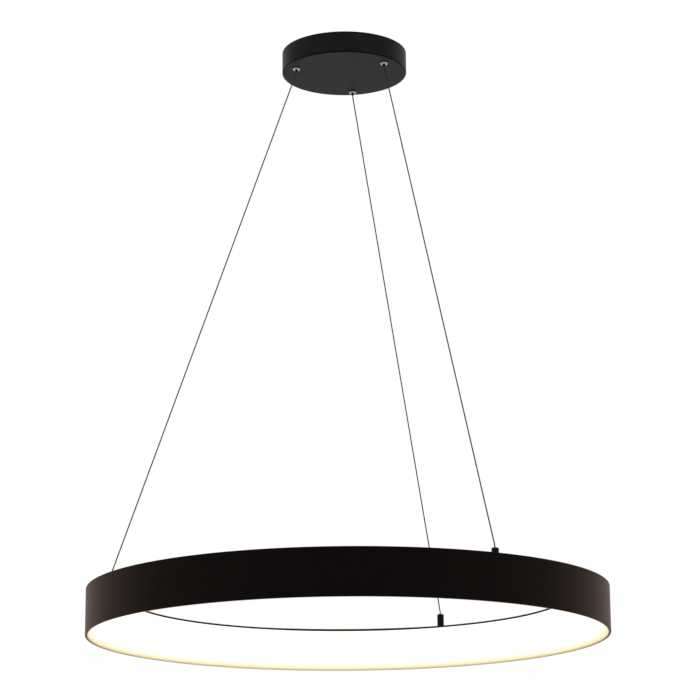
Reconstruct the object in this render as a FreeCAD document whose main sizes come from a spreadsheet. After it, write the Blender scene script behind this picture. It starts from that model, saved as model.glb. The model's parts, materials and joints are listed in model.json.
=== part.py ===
import FreeCAD, Part
import Sketcher
import math
import os
import re

os.makedirs("parts", exist_ok=True)
doc = FreeCAD.newDocument("RingChandelier")
vector = FreeCAD.Vector
up = vector(0, 0, 1)

# ---------------------------------------------------------------- sizes, in mm and degrees
# The origin is the centre of the ceiling face. Heights of the canopy count down from the ceiling,
# heights of the ring count up from its bottom edge.
sizes = {
    # canopy cover
    "canopy_radius": 100.0,
    "canopy_depth": 35.0,
    "canopy_wall": 1.2,
    "canopy_edge_round": 1.5,
    "ceiling_gap": 0.5,
    # mounting plate
    "plate_clearance": 0.3,
    "plate_thickness": 2.0,
    "cable_hole_radius": 10.0,
    "ceiling_slot_spacing": 130.0,
    "ceiling_slot_width": 5.5,
    "ceiling_slot_length": 14.0,
    "tab_angle": 10.0,
    "tab_depth": 14.0,
    "tab_thickness": 3.0,
    "side_screw_radius": 2.0,
    "side_screw_depth": 9.0,
    "screw_clearance": 0.1,
    # driver
    "driver_shank_gap": 8.0,
    "driver_width": 40.0,
    "driver_depth": 24.0,
    "driver_wall": 1.5,
    "driver_wall_gap": 12.0,
    "driver_ear": 9.0,
    "driver_board_thickness": 1.6,
    "driver_board_standoff": 3.5,
    "driver_foot_radius": 2.5,
    "driver_foot_inset": 8.0,
    "transformer_length": 28.0,
    "transformer_width": 26.0,
    "component_height": 13.0,
    "capacitor_radius": 5.5,
    "capacitor_spacing": 14.0,
    "capacitor_gap": 3.0,
    # terminal block and earth screw
    "terminal_length": 30.0,
    "terminal_width": 18.0,
    "terminal_depth": 13.0,
    "terminal_x": 22.0,
    "terminal_y": -36.0,
    "pole_spacing": 9.0,
    "pole_level": 4.0,
    "earth_x": 30.0,
    "earth_y": 38.0,
    "earth_lug_radius": 4.0,
    "earth_lug_thickness": 2.0,
    # small screws
    "small_screw_radius": 1.5,
    "small_head_radius": 2.8,
    "small_head_height": 1.8,
    # ropes and their grippers
    "rope_radius": 1.0,
    "rope_running_gap": 0.1,
    "outlet_inset": 18.0,
    "outlet_turn": 80.0,
    "collar_radius": 6.0,
    "collar_height": 2.6,
    "collar_round": 1.6,
    "shank_radius": 5.0,
    "rope_top_gap": 2.8,
    "shank_wall": 1.4,
    "bush_flange_radius": 7.0,
    "bush_flange_thickness": 1.0,
    "bush_wall": 0.9,
    "fit_gap": 0.05,
    "nut_flats": 14.0,
    "nut_height": 3.0,
    "end_plug_thickness": 3.0,
    "nipple_radius": 2.25,
    "nipple_reach": 3.0,
    "nipple_round": 0.5,
    "wedge_bottom": 4.0,
    "wedge_height": 5.5,
    "wedge_slope": 5.7,
    "spring_seat_thickness": 1.0,
    "spring_wire_radius": 0.3,
    "spring_turns": 6.0,
    "ball_radius": 0.75,
    "rope_stub": 8.0,
    "ferrule_wall": 0.8,
    "ferrule_length": 6.0,
    # hang
    "hang_drop": 913.0,
    "rope_bend_radius": 8.0,
    # ring shell
    "ring_radius": 400.0,
    "ring_height": 70.0,
    "ring_wall": 2.0,
    "lip_width": 4.5,
    "lip_thickness": 2.0,
    "edge_bevel": 0.4,
    "ring_band": 63.0,
    "rim_depth": 9.5,
    "top_plate_thickness": 2.0,
    "rim_flange_height": 2.8,
    "rim_flange_thickness": 1.5,
    "shell_gap": 0.1,
    # diffuser
    "diffuser_thickness": 2.0,
    "diffuser_collar": 2.8,
    # LED carrier
    "carrier_rim_gap": 17.0,
    "carrier_wall_gap": 11.0,
    "carrier_thickness": 1.5,
    "pillar_radius": 3.5,
    "pillar_height": 7.0,
    "pillar_count": 6.0,
    "board_margin": 8.0,
    "board_thickness": 1.6,
    "board_count": 6.0,
    "board_gap_angle": 1.0,
    "chip_size": 3.5,
    "chip_height": 0.8,
    "chip_inset": 4.5,
    "chips_per_board": 14.0,
    "link_inset": 4.5,
    "link_width": 6.0,
    "link_height": 2.0,
    # brackets
    "bracket_count": 6.0,
    "bracket_angle": 3.0,
    "bracket_depth": 8.0,
    "bracket_height": 14.0,
    "bracket_thickness": 2.5,
    "bracket_turn": 19.5,
    # rope anchors on the ring
    "anchor_inset": 35.0,
    "anchor_turn": 64.5,
    "anchor_radius": 5.5,
    "anchor_height": 22.5,
    "anchor_round": 1.6,
    "anchor_roof": 4.0,
    "anchor_chamber_gap": 0.6,
    "anchor_chamber_depth": 12.0,
    "anchor_screw_radius": 3.0,
    "anchor_head_flats": 8.5,
    "anchor_head_height": 2.6,
    "lug_thickness": 0.5,
    "lug_radius": 7.5,
    # leads
    "lead_radius": 0.9,
}

sheet = doc.addObject("Spreadsheet::Sheet", "Sizes")
for row, (alias, value) in enumerate(sizes.items(), start=1):
    sheet.set(f"A{row}", alias)
    sheet.set(f"B{row}", f"{value}")
    sheet.setAlias(f"B{row}", alias)


def named(rule):
    """A rule in plain size names, as an expression on the sheet."""
    return re.sub(r"[a-z]\w*", lambda hit: "Sizes." + hit[0] if hit[0] in sizes else hit[0], rule)


def combined(alias, rule):
    """A size that follows from others, kept in the sheet as a formula."""
    row = len(sizes) + 1
    sizes[alias] = rule
    sheet.set(f"A{row}", alias)
    sheet.set(f"B{row}", "=" + rule)
    sheet.setAlias(f"B{row}", alias)


# heights below the ceiling, as positive depths turned into z values
combined("round_middle", "1 - sqrt(0.5)")
combined("floor_outside", "-canopy_depth")
combined("floor_inside", "-canopy_depth + canopy_wall")
combined("plate_underside", "-plate_thickness")
combined("cover_inner_radius", "canopy_radius - canopy_wall")
combined("plate_radius", "cover_inner_radius - plate_clearance")
combined("outlet_circle", "canopy_radius - outlet_inset")
combined("driver_length", "outlet_circle * sqrt(3) - (shank_radius + driver_shank_gap) * 2")
combined("driver_half_length", "driver_length / 2")
combined("driver_corner", "sqrt(cover_inner_radius ^ 2 - driver_half_length ^ 2)")
combined("driver_outer_edge", "driver_wall_gap - driver_corner")
combined("driver_inner_edge", "driver_outer_edge + driver_width")
combined("driver_offset", "-(driver_outer_edge + driver_inner_edge) / 2")
combined("ear_reach", "driver_half_length + driver_ear")
combined("driver_underside", "plate_underside - driver_depth")
# gripper, along its own vertical axis
combined("collar_top", "floor_outside - bush_flange_thickness")
combined("collar_bottom", "collar_top - collar_height")
combined("nipple_bottom", "collar_bottom - nipple_reach")
combined("rope_top", "plate_underside - rope_top_gap")
combined("shank_top", "rope_top - rope_stub")
combined("bush_radius", "shank_radius + bush_wall")
combined("bush_hole_radius", "bush_radius + fit_gap")
combined("shank_bore", "shank_radius - shank_wall")
combined("guide_radius", "nipple_radius + fit_gap")
combined("wedge_low", "collar_top + wedge_bottom")
combined("wedge_top", "wedge_low + wedge_height")
combined("wedge_top_radius", "guide_radius + wedge_height * tan(wedge_slope)")
combined("spring_low", "wedge_top + fit_gap + spring_seat_thickness")
combined("spring_top", "shank_top - end_plug_thickness")
combined("ball_orbit", "rope_radius + fit_gap + ball_radius")
combined("ball_place", "wedge_low + (ball_orbit + ball_radius + fit_gap - guide_radius) / tan(wedge_slope)")
combined("rope_bore", "rope_radius + rope_running_gap")
# ring
combined("ring_bottom", "floor_outside - hang_drop")
combined("rim_radius", "ring_radius - ring_band")
combined("rim_height", "ring_height - rim_depth")
combined("wall_inside", "ring_radius - ring_wall")
combined("lip_inner_radius", "ring_radius - lip_width")
combined("top_plate_radius", "wall_inside - shell_gap")
combined("top_plate_underside", "rim_height - top_plate_thickness")
combined("flange_outer_radius", "rim_radius + rim_flange_thickness")
combined("diffuser_inner_radius", "flange_outer_radius + shell_gap")
combined("diffuser_foot", "lip_thickness + shell_gap")
combined("diffuser_outer_radius", "wall_inside - shell_gap")
combined("diffuser_foot_radius", "lip_inner_radius - shell_gap")
combined("diffuser_top", "top_plate_underside - shell_gap")
combined("diffuser_shoulder", "rim_height - rim_flange_height - shell_gap")
combined("carrier_top", "top_plate_underside - pillar_height")
combined("carrier_underside", "carrier_top - carrier_thickness")
combined("board_underside", "carrier_underside - board_thickness")
combined("carrier_inner_radius", "rim_radius + carrier_rim_gap")
combined("carrier_outer_radius", "ring_radius - carrier_wall_gap")
combined("pillar_circle", "(carrier_inner_radius + carrier_outer_radius) / 2")
combined("board_inner_radius", "carrier_inner_radius + board_margin")
combined("board_outer_radius", "carrier_outer_radius - board_margin")
combined("chip_circle", "pillar_circle - chip_inset")
combined("link_circle", "pillar_circle + link_inset")
combined("chip_count", "chips_per_board * board_count")
combined("anchor_circle", "ring_radius - anchor_inset")
combined("anchor_chamber_radius", "anchor_screw_radius + anchor_chamber_gap")
combined("anchor_base", "rim_height + bush_flange_thickness")
combined("anchor_top", "anchor_base + anchor_height")
combined("anchor_chamber_top", "anchor_top - anchor_roof")
combined("anchor_chamber_low", "anchor_chamber_top - anchor_chamber_depth")
combined("lug_underside", "top_plate_underside - bush_flange_thickness - lug_thickness")
combined("ring_lead_offset", "anchor_head_flats / sqrt(3) + lead_radius + fit_gap * 4")
doc.recompute()


def size(rule):
    """The present value of a rule."""
    return float(sheet.evalExpression(named(rule)))


# ---------------------------------------------------------------- helpers
made = []


def newBody(label):
    body = doc.addObject("PartDesign::Body", label)
    body.Label = label
    made.append(body)
    return body


def newFeature(label, shape):
    feature = doc.addObject("Part::Feature", label)
    feature.Label = label
    feature.Shape = shape
    made.append(feature)
    return feature


def originPart(body, role):
    return next(part for part in body.Origin.OriginFeatures if part.Role == role)


def newSketch(body, plane, height="0"):
    """A sketch on one of the body's own origin planes, lifted along the plane's normal."""
    sketch = body.newObject("Sketcher::SketchObject", "Sketch")
    sketch.AttachmentSupport = [(originPart(body, plane), "")]
    sketch.MapMode = "FlatFace"
    if height != "0":
        sketch.setExpression("AttachmentOffset.Base.z", named(height))
    return sketch


def pin(sketch, line, point, rules):
    """Ties one point of the sketch to its two rules."""
    for kind, rule in zip(("DistanceX", "DistanceY"), rules):
        value = size(rule)
        number = sketch.addConstraint(Sketcher.Constraint(kind, -1, 1, line, point, value))
        name = f"{kind}_{line}_{point}"
        sketch.renameConstraint(number, name)
        sketch.setExpression("Constraints." + name, named(rule))


def outline(sketch, corners):
    """A closed outline through corners given as pairs of rules."""
    places = [vector(size(x), size(y), 0) for x, y in corners]
    first = sketch.GeometryCount
    count = len(places)
    for index in range(count):
        sketch.addGeometry(Part.LineSegment(places[index], places[(index + 1) % count]), False)
    for index in range(count):
        after = first + (index + 1) % count
        sketch.addConstraint(Sketcher.Constraint("Coincident", first + index, 2, after, 1))
    for index, rules in enumerate(corners):
        pin(sketch, first + index, 1, rules)


def roundHole(sketch, x, y, radius):
    """A circle given by rules."""
    circle = Part.Circle(vector(size(x), size(y), 0), up, size(radius))
    line = sketch.addGeometry(circle, False)
    pin(sketch, line, 3, (x, y))
    number = sketch.addConstraint(Sketcher.Constraint("Radius", line, size(radius)))
    name = f"Radius_{line}"
    sketch.renameConstraint(number, name)
    sketch.setExpression("Constraints." + name, named(radius))


def turn(body, corners, axis="0", angle=None):
    """Turns an outline in the XZ plane about the vertical at x = axis."""
    sketch = newSketch(body, "XZ_Plane")
    outline(sketch, corners)
    spine = Part.LineSegment(vector(size(axis), -50, 0), vector(size(axis), 50, 0))
    line = sketch.addGeometry(spine, True)
    sketch.addConstraint(Sketcher.Constraint("Vertical", line))
    if axis != "0":
        number = sketch.addConstraint(Sketcher.Constraint("DistanceX", -1, 1, line, 1, size(axis)))
        sketch.renameConstraint(number, "axis")
        sketch.setExpression("Constraints.axis", named(axis))
    feature = body.newObject("PartDesign::Revolution", "Turned")
    feature.Profile = sketch
    feature.ReferenceAxis = (sketch, ["Axis0"])
    feature.Angle = 360
    if angle is not None:
        feature.Midplane = True
        feature.setExpression("Angle", named(angle))
    body.Tip = feature
    return feature


def pad(body, sketch, length, down=False):
    feature = body.newObject("PartDesign::Pad", "Padded")
    feature.Profile = sketch
    feature.setExpression("Length", named(length))
    feature.Reversed = down
    body.Tip = feature
    return feature


def pocket(body, sketch, length, up_side=False, both=False):
    """Cuts from the sketch's plane: against its normal, or along it, or both ways."""
    before = volumeOf(body)
    feature = body.newObject("PartDesign::Pocket", "Cut")
    feature.Profile = sketch
    feature.setExpression("Length", named(length))
    feature.Reversed = up_side
    feature.Midplane = both
    body.Tip = feature
    if volumeOf(body) >= before - 1e-6:
        raise ValueError(f"a pocket in {body.Label} cut nothing")
    return feature


def volumeOf(body):
    doc.recompute()
    return body.Tip.Shape.Volume


def repeat(body, features, count):
    """Repeats features evenly round the vertical axis."""
    pattern = body.newObject("PartDesign::PolarPattern", "Round")
    pattern.Originals = features
    pattern.Axis = (originPart(body, "Z_Axis"), [""])
    pattern.Angle = 360
    pattern.setExpression("Occurrences", named(count))
    body.Tip = pattern
    return pattern


def place(thing, x="0", y="0", z="0", angle="0"):
    """Places a sub-part by rules."""
    thing.Placement = FreeCAD.Placement(vector(0, 0, 0), FreeCAD.Rotation(up, 0))
    thing.setExpression("Placement.Base.x", named(x))
    thing.setExpression("Placement.Base.y", named(y))
    thing.setExpression("Placement.Base.z", named(z))
    thing.setExpression("Placement.Rotation.Angle", named(angle))


def boxCorners(x_low, y_low, x_high, y_high):
    return [(x_low, y_low), (x_high, y_low), (x_high, y_high), (x_low, y_high)]


def hexagon(x, flats):
    """Corners of a hexagon centred on (x, 0)."""
    corners = []
    for index in range(6):
        angle = 60 * index + 30
        corners.append((f"{x} + {flats} / sqrt(3) * cos({angle})", f"{flats} / sqrt(3) * sin({angle})"))
    return corners


def turnedSet(label, corners, axis, count, z="0", angle="0"):
    """Equal turned pieces on a circle round the vertical axis."""
    body = newBody(label)
    feature = turn(body, corners, axis)
    repeat(body, [feature], count)
    place(body, z=z, angle=angle)
    return body


def screwOutline(axis, face, head_height, head_radius, shaft_radius, shaft_length, side):
    """Half a screw: its head stands off the face on the side +1 or -1, its shaft goes the other way."""
    head = f"{face} + ({side}) * {head_height}"
    tip = f"{face} - ({side}) * {shaft_length}"
    return [
        (axis, head),
        (f"{axis} + {head_radius}", head),
        (f"{axis} + {head_radius}", face),
        (f"{axis} + {shaft_radius}", face),
        (f"{axis} + {shaft_radius}", tip),
        (axis, tip),
    ]


def onCircle(radius, angle):
    turned = math.radians(angle)
    return vector(radius * math.cos(turned), radius * math.sin(turned), 0)


def outletPlace(index):
    return onCircle(size("outlet_circle"), size("outlet_turn") + 120 * index)


def anchorPlace(index):
    return onCircle(size("anchor_circle"), size("anchor_turn") + 120 * index)


def inCanopy(x, y, z):
    """A point given in the canopy's own turned directions."""
    turned = math.radians(size("outlet_turn"))
    return vector(x * math.cos(turned) - y * math.sin(turned), x * math.sin(turned) + y * math.cos(turned), z)


def roundedPath(points, radius=None):
    """Straight runs joined by tangent arcs. Without a radius each arc is as large as its runs allow."""
    edges = []
    radii = []
    start = points[0]
    for before, corner, after in zip(points, points[1:], points[2:]):
        back = before - corner
        ahead = after - corner
        half_turn = (math.pi - back.getAngle(ahead)) / 2
        shorter = min(back.Length, ahead.Length)
        bend = radius if radius else 0.45 * shorter / math.tan(half_turn)
        reach = bend * math.tan(half_turn)
        radii.append(bend)
        entry = corner + back.normalize() * reach
        leave = corner + ahead.normalize() * reach
        middle_way = (entry + leave) * 0.5 - corner
        distance = bend / math.cos(half_turn) - bend
        middle = corner + middle_way.normalize() * distance
        edges.append(Part.LineSegment(start, entry).toShape())
        edges.append(Part.Arc(entry, middle, leave).toShape())
        start = leave
    edges.append(Part.LineSegment(start, points[-1]).toShape())
    return Part.Wire(edges), radii


def cord(label, points, cord_radius, bend=None):
    """A round cord along a rounded path."""
    path, radii = roundedPath(points, bend)
    direction = points[1] - points[0]
    section = Part.Wire(Part.makeCircle(cord_radius, points[0], direction))
    solid = path.makePipeShell([section], True, False)
    expected = math.pi * cord_radius ** 2 * path.Length
    print(f"{label}: length {path.Length:.1f} mm, radii", [round(radius, 1) for radius in radii],
          f"volume ratio {solid.Volume / expected:.4f}")
    return newFeature(label, solid)


def roundEdges(shape, radius, height):
    """Names of the circular edges of one radius at one height."""
    names = []
    for index, edge in enumerate(shape.Edges, start=1):
        curve = edge.Curve
        if curve.TypeId == "Part::GeomCircle":
            if abs(curve.Radius - radius) < 1e-4 and abs(curve.Center.z - height) < 1e-4:
                names.append(f"Edge{index}")
    return names


# ---------------------------------------------------------------- canopy
def buildCanopyCover():
    """A spun cup, open to the ceiling, with three outlet holes and three side screw holes."""
    body = newBody("canopy_cover")
    turn(body, [
        ("0", "floor_outside"),
        ("canopy_radius", "floor_outside"),
        ("canopy_radius", "-ceiling_gap"),
        ("cover_inner_radius", "-ceiling_gap"),
        ("cover_inner_radius", "floor_inside"),
        ("0", "floor_inside"),
    ])
    doc.recompute()
    cup = body.Tip
    edge = body.newObject("PartDesign::Fillet", "Edge")
    edge.Base = (cup, roundEdges(cup.Shape, size("canopy_radius"), size("floor_outside")))
    edge.setExpression("Radius", named("canopy_edge_round"))
    body.Tip = edge
    holes = newSketch(body, "XY_Plane", "floor_inside")
    roundHole(holes, "outlet_circle", "0", "bush_hole_radius")
    outlet = pocket(body, holes, "canopy_wall * 3", both=True)
    side = newSketch(body, "YZ_Plane", "canopy_radius")
    roundHole(side, "0", "-side_screw_depth", "side_screw_radius + screw_clearance")
    screw_hole = pocket(body, side, "canopy_wall * 4", both=True)
    repeat(body, [outlet], "3")
    repeat(body, [screw_hole], "3")
    place(body, angle="outlet_turn")


def buildMountingPlate():
    """A disc screwed to the ceiling, with a cable hole, two slots and three threaded tabs."""
    body = newBody("mounting_plate")
    disc = newSketch(body, "XY_Plane")
    roundHole(disc, "0", "0", "plate_radius")
    roundHole(disc, "0", "0", "cable_hole_radius")
    pad(body, disc, "plate_thickness", down=True)
    tab = turn(body, [
        ("plate_radius - tab_thickness", "-tab_depth"),
        ("plate_radius", "-tab_depth"),
        ("plate_radius", "plate_underside / 2"),
        ("plate_radius - tab_thickness", "plate_underside / 2"),
    ], angle="tab_angle")
    repeat(body, [tab], "3")
    thread = newSketch(body, "YZ_Plane", "plate_radius")
    roundHole(thread, "0", "-side_screw_depth", "side_screw_radius + fit_gap")
    hole = pocket(body, thread, "tab_thickness * 4", both=True)
    repeat(body, [hole], "3")
    straight = "(ceiling_slot_length - ceiling_slot_width) / 2"
    half_width = "ceiling_slot_width / 2"
    for way in ("1", "-1"):
        near = f"({way}) * ceiling_slot_spacing / 2 - {straight}"
        far = f"({way}) * ceiling_slot_spacing / 2 + {straight}"
        slot = newSketch(body, "XY_Plane")
        corners = boxCorners(near, f"-({half_width})", far, half_width)
        outline(slot, [turnedBack(x, y) for x, y in corners])
        pocket(body, slot, "plate_thickness * 3", both=True)
        ends = newSketch(body, "XY_Plane")
        for x in (near, far):
            roundHole(ends, *turnedBack(x, "0"), half_width)
        pocket(body, ends, "plate_thickness * 3", both=True)
    fixings = newSketch(body, "XY_Plane")
    for x, y in fixingPlaces():
        roundHole(fixings, x, y, "small_screw_radius + screw_clearance")
    pocket(body, fixings, "plate_thickness * 3", both=True)
    place(body, angle="outlet_turn")


def turnedBack(x, y):
    """Rules for a point of the row's directions in the canopy's turned directions."""
    return (f"({x}) * cos(outlet_turn) + ({y}) * sin(outlet_turn)",
            f"-({x}) * sin(outlet_turn) + ({y}) * cos(outlet_turn)")


def fixingPlaces():
    """Holes of the plate: driver twice, terminal block, earth screw."""
    return [
        ("-driver_offset", "driver_half_length + driver_ear / 2"),
        ("-driver_offset", "-driver_half_length - driver_ear / 2"),
        ("terminal_x + pole_spacing / 2", "terminal_y - terminal_width / 3"),
        ("earth_x", "earth_y"),
    ]


def buildSideScrews():
    """Three flush grub screws through the cover's side into the tabs."""
    body = newBody("side_screws")
    reach = "plate_radius - tab_thickness - screw_clearance * 3"
    end = newSketch(body, "YZ_Plane", reach)
    roundHole(end, "0", "-side_screw_depth", "side_screw_radius")
    screw = pad(body, end, f"canopy_radius - ({reach})")
    socket = newSketch(body, "YZ_Plane", "canopy_radius")
    roundHole(socket, "0", "-side_screw_depth", "side_screw_radius / 2")
    recess = pocket(body, socket, "side_screw_radius")
    repeat(body, [screw, recess], "3")
    place(body, angle="outlet_turn")


# ---------------------------------------------------------------- driver and mains terminals
def driverOutline(inset):
    """The driver's rectangle, drawn in by an inset."""
    edges = ("driver_outer_edge", "-driver_half_length", "driver_inner_edge", "driver_half_length")
    return boxCorners(*[f"{rule} {sign} {inset}" for rule, sign in zip(edges, "++--")])


def buildDriverCase():
    """A tray open downward with two ears, hanging under the mounting plate, and its lid."""
    body = newBody("driver_case")
    tray = newSketch(body, "XY_Plane")
    outline(tray, driverOutline("0"))
    pad(body, tray, "driver_depth - driver_wall", down=True)
    cavity = newSketch(body, "XY_Plane", "-driver_wall")
    outline(cavity, driverOutline("driver_wall"))
    pocket(body, cavity, "driver_depth")
    for low, high in (("driver_half_length", "ear_reach"), ("-ear_reach", "-driver_half_length")):
        ear = newSketch(body, "XY_Plane")
        outline(ear, boxCorners("driver_outer_edge + driver_wall * 4", low, "driver_inner_edge", high))
        pad(body, ear, "driver_wall", down=True)
    holes = newSketch(body, "XY_Plane")
    for x, y in fixingPlaces()[:2]:
        roundHole(holes, x, y, "small_screw_radius + screw_clearance")
    pocket(body, holes, "driver_wall * 3", both=True)
    place(body, z="plate_underside", angle="outlet_turn")

    lid = newBody("driver_lid")
    cover = newSketch(lid, "XY_Plane")
    outline(cover, driverOutline("0"))
    pad(lid, cover, "driver_wall", down=True)
    rim = newSketch(lid, "XY_Plane")
    outline(rim, driverOutline("(driver_wall + fit_gap * 2)"))
    pad(lid, rim, "driver_wall")
    place(lid, z="driver_underside + driver_wall", angle="outlet_turn")


def buildDriverInside():
    """The circuit board on four feet, with a transformer and four capacitors under it."""
    feet = newBody("driver_board_feet")
    for y_side in ("1", "-1"):
        for x_side in ("1", "-1"):
            foot = newSketch(feet, "XY_Plane")
            x = f"-driver_offset + ({x_side}) * (driver_width / 2 - driver_foot_inset)"
            y = f"({y_side}) * (driver_half_length - driver_foot_inset)"
            roundHole(foot, x, y, "driver_foot_radius")
            pad(feet, foot, "driver_board_standoff", down=True)
    place(feet, z="plate_underside - driver_wall", angle="outlet_turn")

    board = newBody("driver_board")
    flat = newSketch(board, "XY_Plane")
    outline(flat, driverOutline("(driver_wall + fit_gap * 2)"))
    pad(board, flat, "driver_board_thickness", down=True)
    place(board, z="plate_underside - driver_wall - driver_board_standoff", angle="outlet_turn")

    parts = newBody("driver_components")
    core = newSketch(parts, "XY_Plane")
    outline(core, boxCorners(
        "-driver_offset - transformer_width / 2", "-transformer_length / 2",
        "-driver_offset + transformer_width / 2", "transformer_length / 2"))
    pad(parts, core, "component_height", down=True)
    for side in ("1", "-1"):
        for step in ("0", "1"):
            can = newSketch(parts, "XY_Plane")
            y = f"({side}) * (transformer_length / 2 + capacitor_gap + capacitor_radius + {step} * capacitor_spacing)"
            roundHole(can, "-driver_offset", y, "capacitor_radius")
            pad(parts, can, "component_height", down=True)
    level = "plate_underside - driver_wall - driver_board_standoff - driver_board_thickness"
    place(parts, z=level, angle="outlet_turn")


def upwardScrews(label, places, face, length):
    """Pan-head screws driven upward, with their heads below a face."""
    body = newBody(label)
    for x, y in places:
        shaft = newSketch(body, "XY_Plane")
        roundHole(shaft, x, y, "small_screw_radius")
        pad(body, shaft, length)
        head = newSketch(body, "XY_Plane")
        roundHole(head, x, y, "small_head_radius")
        pad(body, head, "small_head_height", down=True)
    place(body, z=face, angle="outlet_turn")


def buildPlateScrews():
    driver_holes = fixingPlaces()[:2]
    block_hole = fixingPlaces()[2:3]
    earth_hole = fixingPlaces()[3:]
    upwardScrews("driver_screws", driver_holes, "plate_underside - driver_wall", "driver_wall + plate_thickness")
    upwardScrews("terminal_screw", block_hole, "plate_underside - terminal_depth",
                 "terminal_depth + plate_thickness")
    upwardScrews("earth_screw", earth_hole, "plate_underside - earth_lug_thickness",
                 "earth_lug_thickness + plate_thickness")


def poleRules():
    """The x of each pole of the terminal block."""
    return [f"terminal_x + ({step}) * pole_spacing" for step in (-1, 0, 1)]


def buildTerminals():
    """The mains terminal block with three poles and their clamping screws, and the earth lug."""
    body = newBody("terminal_block")
    block = newSketch(body, "XY_Plane")
    outline(block, boxCorners(
        "terminal_x - terminal_length / 2", "terminal_y - terminal_width / 2",
        "terminal_x + terminal_length / 2", "terminal_y + terminal_width / 2"))
    pad(body, block, "terminal_depth", down=True)
    wells = newSketch(body, "XY_Plane", "-terminal_depth")
    for x in poleRules():
        roundHole(wells, x, "terminal_y", "small_head_radius")
    pocket(body, wells, "terminal_depth / 2", up_side=True)
    fixing = newSketch(body, "XY_Plane")
    roundHole(fixing, *fixingPlaces()[2], "small_screw_radius + screw_clearance")
    pocket(body, fixing, "terminal_depth * 3", both=True)
    entries = newSketch(body, "XZ_Plane", "-terminal_y")
    for x in poleRules():
        roundHole(entries, x, "-pole_level", "lead_radius + screw_clearance * 3")
    pocket(body, entries, "terminal_width * 2", both=True)
    place(body, z="plate_underside", angle="outlet_turn")

    clamps = newBody("terminal_clamps")
    for x in poleRules():
        clamp = newSketch(clamps, "XY_Plane")
        roundHole(clamp, x, "terminal_y", "small_head_radius - screw_clearance")
        pad(clamps, clamp, "small_head_height", down=True)
    place(clamps, z="plate_underside - terminal_depth / 2", angle="outlet_turn")

    lug = newBody("earth_lug")
    ring = newSketch(lug, "XY_Plane")
    roundHole(ring, "earth_x", "earth_y", "earth_lug_radius")
    roundHole(ring, "earth_x", "earth_y", "small_screw_radius + fit_gap")
    pad(lug, ring, "earth_lug_thickness", down=True)
    place(lug, z="plate_underside", angle="outlet_turn")


# ---------------------------------------------------------------- rope grippers
def buildGripper(number, x, y, angle):
    """Collar and threaded shank bored to a wedge, with the plunger, its spring and the clamping balls."""
    body = newBody(f"gripper_body_{number}")
    turn(body, [
        ("guide_radius", "collar_bottom"),
        ("collar_radius - collar_round", "collar_bottom"),
        ("collar_radius - collar_round * round_middle", "collar_bottom + collar_round * round_middle"),
        ("collar_radius", "collar_bottom + collar_round"),
        ("collar_radius", "collar_top"),
        ("shank_radius", "collar_top"),
        ("shank_radius", "shank_top"),
        ("shank_bore", "shank_top"),
        ("shank_bore", "wedge_top"),
        ("wedge_top_radius", "wedge_top"),
        ("guide_radius", "wedge_low"),
    ])
    place(body, x, y)

    plunger = newBody(f"plunger_{number}")
    flange = "wedge_top + fit_gap"
    turn(plunger, [
        ("rope_bore", "nipple_bottom"),
        ("nipple_radius - nipple_round", "nipple_bottom"),
        ("nipple_radius", "nipple_bottom + nipple_round"),
        ("nipple_radius", flange),
        ("shank_bore - fit_gap * 2", flange),
        ("shank_bore - fit_gap * 2", "spring_low"),
        ("rope_bore", "spring_low"),
    ])
    cage = newSketch(plunger, "YZ_Plane")
    roundHole(cage, "0", "ball_place", "ball_radius + fit_gap")
    ball_hole = pocket(plunger, cage, "nipple_radius * 2", up_side=True)
    repeat(plunger, [ball_hole], "3")
    place(plunger, x, y, angle=angle)

    balls = doc.addObject("Part::Compound", f"gripper_balls_{number}")
    loose = []
    for step in range(3):
        ball = doc.addObject("Part::Sphere", "Ball")
        ball.setExpression("Radius", named("ball_radius"))
        place(ball, f"ball_orbit * cos({120 * step})", f"ball_orbit * sin({120 * step})", "ball_place")
        loose.append(ball)
    balls.Links = loose
    place(balls, x, y, angle=angle)
    made.append(balls)


def buildSpring(number):
    """The compression spring between a plunger's flange and its end plug."""
    wire = size("spring_wire_radius")
    mean_radius = size("nipple_radius + spring_wire_radius + fit_gap")
    rise = size("spring_top - spring_low - spring_wire_radius * 2 - fit_gap * 4")
    helix = Part.makeHelix(rise / size("spring_turns"), rise, mean_radius)
    path = Part.Wire(helix.Edges)
    first = path.OrderedEdges[0]
    start = first.valueAt(first.FirstParameter)
    section = Part.Wire(Part.makeCircle(wire, start, first.tangentAt(first.FirstParameter)))
    coil = path.makePipeShell([section], True, True)
    piece = newFeature(f"plunger_spring_{number}", coil)
    centre = outletPlace(number - 1)
    centre.z = size("spring_low + spring_wire_radius + fit_gap * 2")
    piece.Placement = FreeCAD.Placement(centre, FreeCAD.Rotation(up, 0))


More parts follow.
